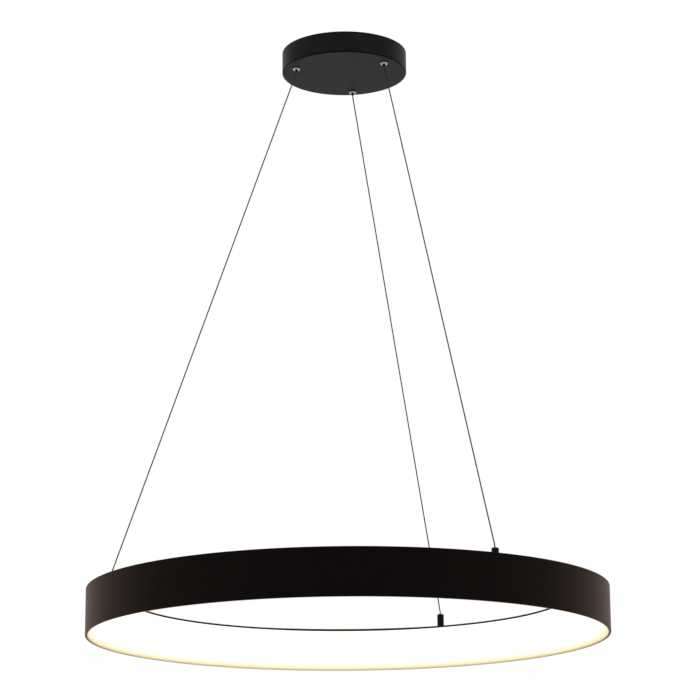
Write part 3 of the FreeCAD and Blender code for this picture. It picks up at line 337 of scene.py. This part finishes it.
# Opal acrylic, moulded and satin: lit evenly from behind, with a yellower glow painted into its
# colour and its light beside the lip.
def opalDiffuser():
    material, tree, shader, place = startMaterial(
        "opalAcrylic", {"IOR": 1.49, "Emission Strength": opal["light"]})
    colour = layGrain(tree, shader, place, opal)
    height, _ = heightAndReach(tree, place)
    # painted light: a yellow glow beside the lip, in the base colour as well as the emission
    colour = tinted(tree, shader, colour, opal["foot"],
                    [(height, low + opal["whiteFrom"], low + opal["yellowTo"])])
    tree.links.new(colour, shader.inputs["Emission Color"])
    return material


turning = {
    "pitch": 0.35,          # mm between tool rings
    "waver": 0.6,           # how far the rings stray from true
    "ringDepth": 0.01,      # mm
    "grain": 0.5,           # mm
    "depth": 0.004,         # mm
    "mottle": 3.0,          # mm
}


# Metal turned on a lathe and plated: tool rings pitch mm apart up the height, bright and dull by
# turns.
def turnedMetal(name, colours, roughness, pitch=turning["pitch"]):
    material, tree, shader, place = startMaterial(name, {"Metallic": 1.0})
    layGrain(tree, shader, place, {**turning, "colours": colours, "roughness": roughness})
    rings = addNode(tree, "ShaderNodeTexWave",
                    {"bands_direction": "Z", "Scale": waveBand * perMetre / pitch,
                     "Distortion": turning["waver"], "Detail": 2.0},
                    {"Vector": place}).outputs["Fac"]
    smooth, rough = roughness
    sheer = addNode(tree, "ShaderNodeMapRange", {"To Min": smooth, "To Max": rough},
                    {"Value": rings})
    relief = addNode(tree, "ShaderNodeBump", {"Distance": turning["ringDepth"] / perMetre},
                     {"Height": rings})
    tree.links.new(sheer.outputs[0], shader.inputs["Roughness"])
    tree.links.new(relief.outputs[0], shader.inputs["Normal"])
    return material


rope = {
    "radius": 0.001,
    "lay": 0.014,               # one turn of the strands
    "strands": 6,
    "wires": 4,                 # that show on each strand
    "around": 24,               # points round the section
    "step": 0.001,              # between sections
    "bend": 0.008,              # radius over the mouth of the gripper and of the anchor
    "ease": 12,                 # radii from such a mouth to where the rope is straight again
    # the first colour, in the grooves between the wires, is the steel's grey and painted shade
    "colours": ("303031", "4e4e50"),
    "turned": "6a6a6a",         # keeps the sides of the rope from turning white
    "roughness": (0.62, 0.78),
    "grain": 1.5,               # mm
    "depth": 0.004,             # mm
    "mottle": 6.0,              # mm
    "wireDepth": 0.02,          # mm
}


# Stainless wire rope, drawn and stranded: a dark grey line, with painted shade in the grooves
# between the fine wires along each strand.
def ropeSteel():
    material, tree, shader, place = startMaterial("strandedSteel", {
        "Metallic": 1.0, "Specular Tint": fromHex(rope["turned"])})
    layGrain(tree, shader, place, rope)
    lay = addNode(tree, "ShaderNodeUVMap", {"uv_map": "lay"}).outputs[0]
    wires = addNode(tree, "ShaderNodeTexWave",
                    {"bands_direction": "X", "Scale": waveBand * rope["wires"]},
                    {"Vector": lay}).outputs["Fac"]
    # painted shade: the darker colour lies in the grooves between the wires
    grooveGreyAndShade, pale = rope["colours"]
    colour = addNode(tree, "ShaderNodeMix",
                     {"data_type": "RGBA", 6: fromHex(grooveGreyAndShade), 7: fromHex(pale)}, {0: wires})
    relief = addNode(tree, "ShaderNodeBump", {"Distance": rope["wireDepth"] / perMetre},
                     {"Height": wires})
    tree.links.new(colour.outputs[2], shader.inputs["Base Color"])
    tree.links.new(relief.outputs[0], shader.inputs["Normal"])
    return material


board = {
    "colours": ("0f5a2c", "0d4f27"),
    "traces": "1d7d44",
    "traceField": 12.0,         # mm; the traces lie a quarter of it apart
    "traceWidth": 0.06,         # share of the field
    "traceDepth": 0.035,        # mm, the usual copper
    "roughness": (0.2, 0.35),
    "grain": 2.0,               # mm
    "depth": 0.004,             # mm
    "mottle": 9.0,              # mm
}


# Glass fibre board under green solder mask: glossy, with copper traces a shade lighter, 3 mm apart.
def boardFinish():
    material, tree, shader, place = startMaterial("solderMask", {"IOR": 1.5})
    layGrain(tree, shader, place, board)
    first, second = board["colours"]
    traces = addNode(tree, "ShaderNodeTexBrick",
                     {"Scale": perMetre / board["traceField"], "Mortar Size": board["traceWidth"],
                      "Color1": fromHex(first), "Color2": fromHex(second),
                      "Mortar": fromHex(board["traces"])}, {"Vector": place})
    relief = addNode(tree, "ShaderNodeBump", {"Distance": board["traceDepth"] / perMetre},
                     {"Height": traces.outputs["Fac"]})
    tree.links.new(traces.outputs["Color"], shader.inputs["Base Color"])
    tree.links.new(relief.outputs[0], shader.inputs["Normal"])
    return material


chip = {
    "colours": ("ffe27a", "ffd24c"),
    "light": 1.0,
    "roughness": (0.25, 0.35),
    "grain": 0.6,               # mm
    "depth": 0.02,              # mm
    "mottle": 1.0,              # mm
}


# Silicone with yellow phosphor, poured over each light chip: a soft gloss, glowing yellow.
def phosphor():
    material, tree, shader, place = startMaterial(
        "phosphorSilicone", {"IOR": 1.41, "Emission Strength": chip["light"]})
    tree.links.new(layGrain(tree, shader, place, chip), shader.inputs["Emission Color"])
    return material


leads = {
    "brown": ("4a2a18", "55321e"), "blue": ("1f4fa8", "275bb6"), "green": ("4d8f2a", "5c9f33"),
    "red": ("a82020", "b52a2a"), "black": ("111111", "181818"),
}
finishes = {
    "black_powder_coat": ringCoat(),
    "canopy_coat": canopyCoat(),
    "opal_diffuser": opalDiffuser(),
    # nickel plate, satin: bright, with blurred highlights
    "satin_nickel": turnedMetal("satinNickel", ("a6a6a8", "b9b9bb"), (0.14, 0.24)),
    # black nickel plate: dark all over, with a soft shine
    "black_plunger": turnedMetal("blackNickel", ("131313", "1b1b1b"), (0.3, 0.42)),
    # steel blackened in hot oxide: darker and duller still
    "black_steel": turnedMetal("blackOxide", ("101011", "171718"), (0.38, 0.5)),
    "rope_steel": ropeSteel(),
    # spring wire as drawn: bright grey
    "spring_steel": turnedMetal("springWire", ("8f9092", "a6a7a9"), (0.2, 0.32), 0.2),
    # brass as turned: yellow, bright on the crests of the tool rings
    "brass": turnedMetal("turnedBrass", ("b08d45", "c6a356"), (0.22, 0.36), 0.3),
    # zinc plate on steel sheet, passivated: bluish grey, cloudy and rather dull
    "zinc_steel": plainFinish("zincPlate", ("9a9da0", "b2b5b7"), (0.46, 0.6),
                              grain=0.6, depth=0.008, mottle=9.0, Metallic=1.0),
    # aluminium as rolled: fine lines one way
    "plain_aluminium": plainFinish("millAluminium", ("b9bbbd", "c9cbcc"), (0.3, 0.45),
                                   grain=0.4, depth=0.006, mottle=30.0, stretch=(0.06, 1, 1),
                                   Metallic=1.0),
    # moulded plastics and a poured resin: satin, evenly coloured
    "black_nylon": plainFinish("blackNylon", ("0d0d0d", "141414"), (0.5, 0.62),
                               grain=0.5, depth=0.01, IOR=1.53),
    "driver_plastic": plainFinish("whitePolycarbonate", ("dcdcd8", "e4e4e0"), (0.42, 0.55),
                                  grain=0.7, depth=0.02, IOR=1.58),
    "component_plastic": plainFinish("epoxyResin", ("141416", "1d1d20"), (0.2, 0.35),
                                     grain=1.5, depth=0.01, IOR=1.55),
    "terminal_plastic": plainFinish("whiteNylon", ("dedace", "e6e2d8"), (0.4, 0.5),
                                    grain=0.8, depth=0.012, IOR=1.53),
    # white solder mask, printed and cured: a clean gloss that sends the light down
    "white_board": plainFinish("whiteSolderMask", ("e4e4df", "efefeb"), (0.22, 0.34),
                               grain=1.2, depth=0.008, IOR=1.5),
    "circuit_board": boardFinish(),
    "led_phosphor": phosphor(),
}
# silicone skins of the leads, extruded: dull and slightly soft to look at
for tone, colours in leads.items():
    finishes[f"lead_{tone}"] = plainFinish(f"{tone}Silicone", colours, (0.45, 0.6),
                                           grain=0.6, depth=0.01, IOR=1.41)
slotOf = {row["node"]: row["material_slot"] for row in frame["record"]["subparts"]}
for nodeName, thing in nodes.items():
    thing.data.materials.clear()
    thing.data.materials.append(finishes[slotOf[nodeName]])
print("materials made:", len(finishes))


# the piece rides on a body, stands for its nodes and takes their finish
def dress(piece, body, *replaced):
    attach(piece, body)
    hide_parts(*replaced)
    piece.data.materials.append(finishes[slotOf[replaced[0]]])


# outer wall of the ring: rolled sheet with a lip folded in at the bottom
wall = {
    "height": 0.070,
    "sheet": 0.002,
    "lipWidth": 0.0045,
    "lipSheet": 0.002,
    "edge": 0.0004,         # radius of the coated edges
    "steps": 360,
}
outside = hang["ringRadius"]
inside, lipInside = outside - wall["sheet"], outside - wall["lipWidth"]
wallTop, lipTop = low + wall["height"], low + wall["lipSheet"]
wallProfile = softened([
    (lipInside, low), (outside, low), (outside, wallTop),
    (inside, wallTop), (inside, lipTop), (lipInside, lipTop),
], wall["edge"])
outerWall = lathe("outerWall", wallProfile, steps=wall["steps"])
dress(outerWall, "ring", "outer_wall")

# diffuser: one cone of even thickness from the lip up to the rim, with a short upright collar
diffuser = {
    "foot": (0.3954, 0.0021),       # inner lower corner: radius, height above the ring's lower edge
    "footOut": 0.3979,
    "shoulder": (0.3386, 0.0576),
    "collarOut": 0.3414,
    "top": 0.0584,
    "thickness": 0.002,
    "edgeSteps": 3,
    "support": 0.0003,
    "steps": 360,
}
footR, footZ = diffuser["foot"]
shoulderR, shoulderZ = diffuser["shoulder"]
footOut, collarOut = diffuser["footOut"], diffuser["collarOut"]
slope = (shoulderZ - footZ) / (footR - shoulderR)
lift = diffuser["thickness"] * math.hypot(1, slope)
coneProfile = softened([
    (footR, low + footZ),
    (footOut, low + footZ),
    (footOut, low + footZ + lift - (footOut - footR) * slope),
    (collarOut, low + shoulderZ + lift - (collarOut - shoulderR) * slope),
    (collarOut, low + diffuser["top"]),
    (shoulderR, low + diffuser["top"]),
    (shoulderR, low + shoulderZ),
], edges["keen"], diffuser["edgeSteps"], diffuser["support"])
diffuserCone = lathe("diffuserCone", coneProfile, steps=diffuser["steps"])
dress(diffuserCone, "ring", "diffuser")
print("ring made")

# canopy: a spun cup with a soft edge, open to the ceiling, with holes for ropes and side screws
canopy = {
    "radius": 0.100,
    "top": -0.0005, "bottom": -0.035,
    "wall": 0.0012,
    "edge": 0.0015,             # radius of the edge outside
    "brim": 0.0003,             # and of the edges at the ceiling
    "cornerZone": 0.004,        # width of the floor beside the wall that has points of its own
    "outletHole": 0.00595,      # radius
    "screwHole": 0.0021,
    "screwHeight": -0.009,
    "overhang": 0.003,          # of the bars that cut the holes, past the sheet
    "holeSteps": 48,
    "steps": 360,
    "sharp": 35.0,              # degrees; an edge that turns more is sharp
}


# Cup round the lamp's axis, point(u, v) = (r(v) cos u, r(v) sin u, z(v)). The profile's first and
# last point have no radius, and each becomes one point.
def spunCup(name, profile, steps):
    u = np.linspace(0, 2 * np.pi, steps, endpoint=False)[:, None]
    r, z = profile[None, :, 0], profile[None, :, 1]
    points = np.stack(np.broadcast_arrays(r * np.cos(u), r * np.sin(u), z), -1)
    cup = makeMesh(name, points, gridFaces(steps, profile.shape[0], True, False))
    shell = bmesh.new()
    shell.from_mesh(cup.data)
    bmesh.ops.remove_doubles(shell, verts=shell.verts, dist=1e-6)
    shell.to_mesh(cup.data)
    shell.free()
    return cup


# round bar that a hole is cut with: point(i, t) = end i + radius (cos t side + sin t other), with
# side and other square to the bar; askew is any direction that no bar has
def holeBar(start, end, radius, steps, askew=(0.3, 0.5, 0.8)):
    way = (end - start) / np.linalg.norm(end - start)
    side = np.cross(way, askew)
    side /= np.linalg.norm(side)
    t = np.linspace(0, 2 * np.pi, steps, endpoint=False)[:, None]
    ring = radius * (np.cos(t) * side + np.sin(t) * np.cross(way, side))
    around = np.arange(steps)
    faces = gridFaces(2, steps, False, True)[:, ::-1]
    return makeMesh("bar", np.stack([start + ring, end + ring]), faces,
                    [around[::-1], steps + around])


# the piece less its bars, as a plain mesh; edges that turn more than sharp degrees stay sharp
def cutHoles(piece, bars, sharp):
    for bar in bars:
        cut = piece.modifiers.new("hole", "BOOLEAN")
        cut.operation = "DIFFERENCE"
        cut.solver = "EXACT"
        cut.object = bar
    cutPiece = piece.evaluated_get(bpy.context.evaluated_depsgraph_get())
    whole = bpy.data.meshes.new_from_object(cutPiece)
    piece.modifiers.clear()
    piece.data = whole
    for bar in bars:
        bpy.data.objects.remove(bar)
    whole.shade_smooth()
    whole.set_sharp_from_angle(angle=math.radians(sharp))


canopyInside = canopy["radius"] - canopy["wall"]
canopyFloor = canopy["bottom"] + canopy["wall"]
canopyProfile = softened([
    (0.0, canopy["bottom"]), (canopy["radius"], canopy["bottom"]),
    (canopy["radius"], canopy["top"]), (canopyInside, canopy["top"]),
    (canopyInside, canopyFloor), (0.0, canopyFloor),
], [edges["keen"], canopy["edge"], canopy["brim"], canopy["brim"], edges["fine"], edges["keen"]],
    edges["steps"])
canopyProfile = canopyProfile[canopyProfile[:, 0] > canopyInside - canopy["cornerZone"]]
canopyProfile = np.concatenate([[(0.0, canopy["bottom"])], canopyProfile, [(0.0, canopyFloor)]])
canopyCup = spunCup("canopyCup", canopyProfile, canopy["steps"])
over = canopy["overhang"]
bars = []
for third, outlet in zip(thirds, outlets):
    bars.append(holeBar(outlet + (0, 0, canopy["bottom"] - over),
                        outlet + (0, 0, canopyFloor + over),
                        canopy["outletHole"], canopy["holeSteps"]))
    turn = hang["outletTurn"] + third
    bars.append(holeBar(onCircle(canopyInside - over, turn) + (0, 0, canopy["screwHeight"]),
                        onCircle(canopy["radius"] + over, turn) + (0, 0, canopy["screwHeight"]),
                        canopy["screwHole"], canopy["holeSteps"]))
cutHoles(canopyCup, bars, canopy["sharp"])
dress(canopyCup, "canopy", "canopy_cover")
print("canopy made")

# rope grippers: a low domed collar on a shank, bored for the clamping balls and the nipple
gripper = {
    "collarTop": -0.036, "collarHeight": 0.0026, "collarRadius": 0.006,
    "dome": 0.0018,                     # radius of the collar's lower edge
    "shankRadius": 0.005, "shankTop": -0.0128,
    "guide": 0.0023,                    # radius of the hole for the nipple
    "bore": 0.0036,
    "wedgeLow": 0.004, "wedgeHigh": 0.0095, "wedgeWide": 0.00285,   # the cone the balls jam in
    "steps": 96,
}
collarTop = gripper["collarTop"]
collarBottom = collarTop - gripper["collarHeight"]
wedgeLow, wedgeHigh = collarTop + gripper["wedgeLow"], collarTop + gripper["wedgeHigh"]
gripperProfile = softened([
    (gripper["guide"], collarBottom), (gripper["collarRadius"], collarBottom),
    (gripper["collarRadius"], collarTop), (gripper["shankRadius"], collarTop),
    (gripper["shankRadius"], gripper["shankTop"]), (gripper["bore"], gripper["shankTop"]),
    (gripper["bore"], wedgeHigh), (gripper["wedgeWide"], wedgeHigh), (gripper["guide"], wedgeLow),
], [edges["fine"], gripper["dome"], edges["fine"], edges["fine"], edges["soft"],
    edges["fine"], edges["keen"], edges["keen"], edges["fine"]], edges["steps"], edges["support"])
for index, outlet in enumerate(outlets):
    collar = lathe(f"gripperCollar{index + 1}", gripperProfile, outlet, gripper["steps"])
    dress(collar, "canopy", f"gripper_body_{index + 1}")

# rope anchors: round-topped sleeves on the ring, with a chamber for the rope's ferrule
anchor = {
    "base": 0.0615, "top": 0.084,       # heights above the ring's lower edge
    "radius": 0.0055, "round": 0.0018,
    "screwBore": 0.00305,
    "chamber": 0.00365, "chamberLow": 0.068, "chamberTop": 0.080,
    "ropeBore": 0.0011,
    "steps": 96,
}
anchorTop, anchorBase = low + anchor["top"], low + anchor["base"]
chamberTop, chamberLow = low + anchor["chamberTop"], low + anchor["chamberLow"]
anchorProfile = softened([
    (anchor["screwBore"], anchorBase), (anchor["radius"], anchorBase),
    (anchor["radius"], anchorTop), (anchor["ropeBore"], anchorTop),
    (anchor["ropeBore"], chamberTop), (anchor["chamber"], chamberTop),
    (anchor["chamber"], chamberLow), (anchor["screwBore"], chamberLow),
], [edges["fine"], edges["fine"], anchor["round"], edges["soft"],
    edges["keen"], edges["keen"], edges["keen"], edges["keen"]], edges["steps"], edges["support"])
for index, foot in enumerate(feet):
    sleeve = lathe(f"anchorSleeve{index + 1}", anchorProfile, foot, anchor["steps"])
    dress(sleeve, "ring", f"anchor_sleeve_{index + 1}")
print("grippers and anchors made")

# springs behind the release nipples, made at their rest length
spring = {
    "low": -0.02535, "top": -0.0159,    # heights of its ends at rest
    "radius": 0.0026,                   # of the coil, to the middle of the wire
    "wire": 0.0003,                     # radius
    "turns": 6,
    "closedPitch": 0.00062,             # of the first and last turn, which lie shut
    "plug": -0.0158,                    # what it pushes on
    "travel": 0.002,                    # how far a nipple goes in
    "steps": 36,                        # to a turn
    "around": 10,                       # points round the wire
}


# Wire of radius w round a screw line of radius R whose end turns are shut: with s the angle along
# the line and t the angle round the wire, point(s, t) =
# (centre x + (R + w cos t) cos s, centre y + (R + w cos t) sin s, height(s) + w sin t)
def coilSpring(name, centre, settings):
    turns = np.linspace(0, settings["turns"], settings["turns"] * settings["steps"] + 1)
    wire, shut = settings["wire"], settings["closedPitch"]
    first, last = settings["low"] + wire, settings["top"] - wire
    height = np.interp(turns, [0, 1, settings["turns"] - 1, settings["turns"]],
                       [first, first + shut, last - shut, last])[:, None]
    s = (2 * np.pi * turns)[:, None]
    t = np.linspace(0, 2 * np.pi, settings["around"], endpoint=False)[None, :]
    reach = settings["radius"] + wire * np.cos(t)
    points = np.stack([centre[0] + reach * np.cos(s), centre[1] + reach * np.sin(s),
                       height + wire * np.sin(t)], -1)
    around = np.arange(settings["around"])
    faces = gridFaces(len(turns), settings["around"], False, True)
    return makeMesh(name, points, faces,
                    [around, (len(turns) - 1) * settings["around"] + around[::-1]])


for index, outlet in enumerate(outlets):
    coil = coilSpring(f"plungerSpring{index + 1}", outlet, spring)
    dress(coil, "canopy", f"plunger_spring_{index + 1}")
    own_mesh(coil)
print("springs made")


# Strands carried along a line. In the section, a strand that touches its neighbours reaches
# r(a) = 2/3 R cos a + sqrt((R/3)^2 - (2/3 R sin a)^2), a up to half a strand each way, and the
# section turns once in a lay: point(s, t) = line(s) + r(t) (cos(2 pi (t + s / lay)) side
# + sin(2 pi (t + s / lay)) other), with side and other square to the line.
def strandedTube(name, line, settings):
    runs = np.linalg.norm(np.diff(line, axis=0), axis=1)
    along = np.concatenate([[0], np.cumsum(runs)])
    count = int(round(along[-1] / settings["step"])) + 1
    reach = np.linspace(0, along[-1], count)
    centre = np.stack([np.interp(reach, along, line[:, k]) for k in range(3)], 1)
    ahead = np.gradient(centre, axis=0)
    ahead /= np.linalg.norm(ahead, axis=1)[:, None]
    side = np.cross(ahead, (0.0, 1.0, 0.0))
    side /= np.linalg.norm(side, axis=1)[:, None]
    other = np.cross(ahead, side)
    around = settings["around"]
    part = np.arange(around) / around
    a = (part * settings["strands"] % 1 - 0.5) * 2 * np.pi / settings["strands"]
    third = settings["radius"] / 3
    inward = np.maximum(third ** 2 - (2 * third * np.sin(a)) ** 2, 0)
    radius = 2 * third * np.cos(a) + np.sqrt(inward)
    angle = 2 * np.pi * (part[None] + reach[:, None] / settings["lay"])
    spread = np.cos(angle)[..., None] * side[:, None] + np.sin(angle)[..., None] * other[:, None]
    points = centre[:, None] + spread * radius[None, :, None]
    u = np.broadcast_to(part[None] * settings["strands"], angle.shape)
    v = np.broadcast_to(reach[:, None] / settings["lay"], angle.shape)
    faces = gridFaces(count, around, False, True)[:, ::-1]
    caps = [np.arange(around), (count - 1) * around + np.arange(around)[::-1]]
    return makeMesh(name, points, faces, caps, np.stack([u, v], -1)), centre


# the route's NURBS curve as points
def splineLine(route):
    curve = bpy.data.curves.new("route", "CURVE")
    curve.dimensions = "3D"
    curve.resolution_u = 16
    spline = curve.splines.new("NURBS")
    spline.points.add(len(route) - 1)
    spline.points.foreach_set("co", np.hstack([route, np.ones((len(route), 1))]).ravel())
    spline.order_u = 3
    spline.use_endpoint_u = True
    holder = bpy.data.objects.new("route", curve)
    mesh = bpy.data.meshes.new_from_object(holder)
    line = np.array([vertex.co for vertex in mesh.vertices])
    bpy.data.meshes.remove(mesh)
    bpy.data.objects.remove(holder)
    bpy.data.curves.remove(curve)
    return line


# ropes: taut from the canopy to the ring, straight through the gripper and the anchor at their ends
ends = {
    "top": -0.0048,                     # above the clamp
    "mouth": -0.0416,                   # lower end of the gripper's nipple
    "anchorMouth": anchorTop,
    "inAnchor": 0.010,                  # length inside the sleeve
    "travel": 0.6,                      # how far the ring goes up
}
for index, (outlet, foot) in enumerate(zip(outlets, feet)):
    slant = np.linalg.norm(foot - outlet) / (ends["mouth"] - ends["anchorMouth"])
    leadIn = rope["bend"] * math.tan(math.atan(slant) / 2)
    first = outlet + (0, 0, ends["mouth"] - leadIn)
    last = foot + (0, 0, ends["anchorMouth"] + leadIn)
    way = (last - first) / np.linalg.norm(last - first)
    near = rope["ease"] * rope["radius"]
    route = np.array([
        outlet + (0, 0, ends["top"]),
        first + (0, 0, near),
        first,
        first + way * near,
        last - way * near,
        last,
        foot + (0, 0, ends["anchorMouth"] - ends["inAnchor"]),
    ])
    piece, centre = strandedTube(f"rope{index + 1}", splineLine(route), rope)
    dress(piece, "canopy", f"rope_{index + 1}")
    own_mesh(piece)
print("ropes made")

# the studio: a pale floor below the photograph's view, light from all round and two soft lamps
room = {
    "floor": -6.5,          # metres, low enough to look up at the lamp from above it
    "floorSize": 130.0,
    "skyLevel": 0.85,       # light from all round
    "lampLevel": 18.0,      # watts of each soft lamp
    "lampSize": 1.8,
    "lampPlaces": {"lampLeft": (-2.4, -2.2, 0.9), "lampRight": (2.4, -2.2, 0.9)},
    "lampTarget": (0, 0, -0.5),
}
square = np.array([[-1, -1, 0], [1, -1, 0], [1, 1, 0], [-1, 1, 0]])
floor = makeMesh("floor", square * room["floorSize"] / 2 + [0, 0, room["floor"]],
                 np.array([[0, 1, 2, 3]]))
# matt floor paint, rolled on: near white, with no shine
floor.data.materials.append(plainFinish("paleFloorPaint", ("f5f4f2", "f6f5f3"), (0.75, 0.85),
                                        grain=20.0, depth=0.05, mottle=400.0))

# white all round for the eye, and in metal and glass; a little less as light on the lamp
world = bpy.data.worlds.new("room")
bpy.context.scene.world = world
world.use_nodes = True
sky = world.node_tree
sky.nodes.clear()
ray = addNode(sky, "ShaderNodeLightPath").outputs
seen = addNode(sky, "ShaderNodeMath", {"operation": "MAXIMUM"},
               {0: ray["Is Camera Ray"], 1: ray["Is Glossy Ray"]})
seen = addNode(sky, "ShaderNodeMath", {"operation": "MAXIMUM"},
               {0: seen.outputs[0], 1: ray["Is Transmission Ray"]})
strength = addNode(sky, "ShaderNodeMapRange", {"To Min": room["skyLevel"], "To Max": 1.0},
                   {"Value": seen.outputs[0]})
backdrop = addNode(sky, "ShaderNodeBackground", {"Color": (1, 1, 1, 1)},
                   {"Strength": strength.outputs[0]})
addNode(sky, "ShaderNodeOutputWorld", links={"Surface": backdrop.outputs[0]})

# two large soft lamps, left and right in front
for name, place in room["lampPlaces"].items():
    data = bpy.data.lights.new(name, "AREA")
    data.energy = room["lampLevel"]
    data.size = room["lampSize"]
    lamp = bpy.data.objects.new(name, data)
    bpy.context.scene.collection.objects.link(lamp)
    lamp.location = place
    lamp.rotation_mode = "QUATERNION"
    toTarget = Vector(room["lampTarget"]) - Vector(place)
    lamp.rotation_quaternion = toTarget.to_track_quat("-Z", "Y")

bpy.context.scene.view_settings.view_transform = "Standard"
print("room made")
